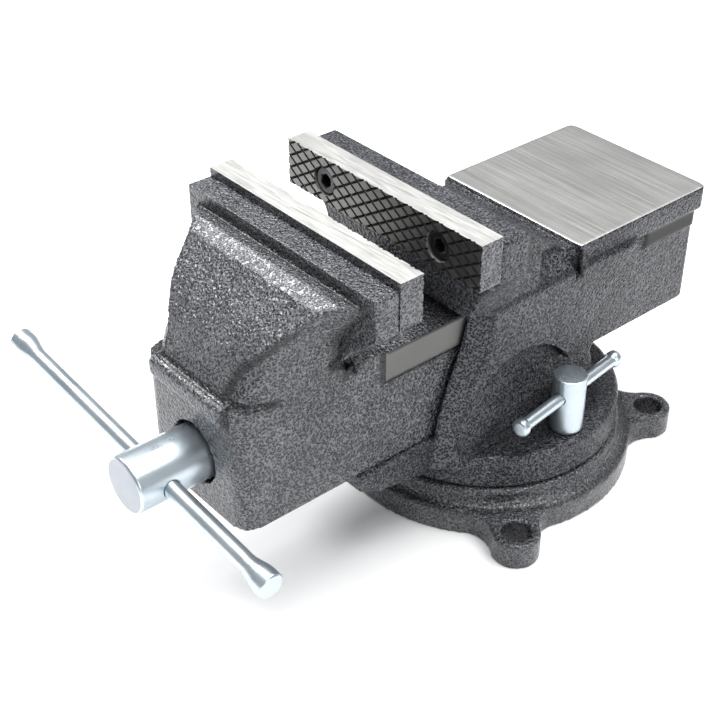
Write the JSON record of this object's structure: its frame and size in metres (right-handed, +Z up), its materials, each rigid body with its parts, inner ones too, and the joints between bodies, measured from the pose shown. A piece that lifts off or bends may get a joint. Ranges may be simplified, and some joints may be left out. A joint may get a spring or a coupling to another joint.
{
  "type": "bench vise",
  "caption": "Cast bench vise on a swivel base, with 125 mm serrated jaws, an anvil, a sliding bar handle and two swivel locks.",
  "frame": {"origin": "centre of the swivel base's underside, on the swivel axis", "axes": "+Z up, along the swivel axis; +Y from the handle towards the anvil, along the lead screw; +X across the jaws"},
  "size_m": [0.1935, 0.309, 0.17],
  "materials": {
    "hammertone": "gloss",
    "ground_steel": "satin",
    "zinc": "satin",
    "black_oxide": "satin",
    "nut_iron": "matte",
    "spring_steel": "satin"
  },
  "bodies": {
    "base": {"swivel_base": "hammertone"},
    "vise_body": {"static_jaw_body": "hammertone", "fixed_jaw_plate": "ground_steel", "fixed_jaw_screws": "black_oxide", "screw_nut": "nut_iron", "nut_bolt": "black_oxide", "nut_bolt_washer": "zinc", "lock_bolts": "zinc"},
    "moving_jaw": {"moving_jaw_body": "hammertone", "moving_jaw_plate": "ground_steel", "moving_jaw_screws": "black_oxide", "thrust_washer": "zinc", "spring_seat_washer": "zinc"},
    "spindle": {"lead_screw": "zinc", "screw_spring": "spring_steel", "retaining_washer": "zinc", "split_pin": "zinc"},
    "handle": {"handle_bar": "zinc"},
    "lock_right": {"lock_nut_right": "zinc"},
    "lock_left": {"lock_nut_left": "zinc"},
    "lock_handle_right": {"lock_bar_right": "zinc"},
    "lock_handle_left": {"lock_bar_left": "zinc"}
  },
  "joints": [
    {"name": "swivel", "type": "hinge", "parent": "base", "child": "vise_body", "pos_m": [0, 0, 0.022], "axis": [0, 0, 1], "continuous": true},
    {"name": "jaw_slide", "type": "slide", "parent": "vise_body", "child": "moving_jaw", "axis": [0, -1, 0], "range_m": [-0.0308, 0.094]},
    {"name": "screw_turn", "type": "hinge", "parent": "moving_jaw", "child": "spindle", "pos_m": [0, -0.193, 0.0806], "axis": [0, -1, 0], "range_deg": [-2800, 8500]},
    {"name": "handle_slide", "type": "slide", "parent": "spindle", "child": "handle", "axis": [0.9959, 0, -0.0906], "range_m": [-0.049, 0.078]},
    {"name": "lock_turn_right", "type": "hinge", "parent": "vise_body", "child": "lock_right", "pos_m": [0.0556, 0, 0.0605], "axis": [0, 0, 1], "range_deg": [-16, 6]},
    {"name": "lock_turn_left", "type": "hinge", "parent": "vise_body", "child": "lock_left", "pos_m": [-0.0556, 0, 0.0605], "axis": [0, 0, -1], "range_deg": [-16, 6]},
    {"name": "lock_bar_slide_right", "type": "slide", "parent": "lock_right", "child": "lock_handle_right", "axis": [0.1288, -0.9917, 0], "range_m": [-0.025, 0.025]},
    {"name": "lock_bar_slide_left", "type": "slide", "parent": "lock_left", "child": "lock_handle_left", "axis": [-0.1288, -0.9917, 0], "range_m": [-0.025, 0.025]}
  ],
  "couplings": [
    {"joint": "screw_turn", "follows": "jaw_slide", "rad_per_m": 1570.8}
  ]
}
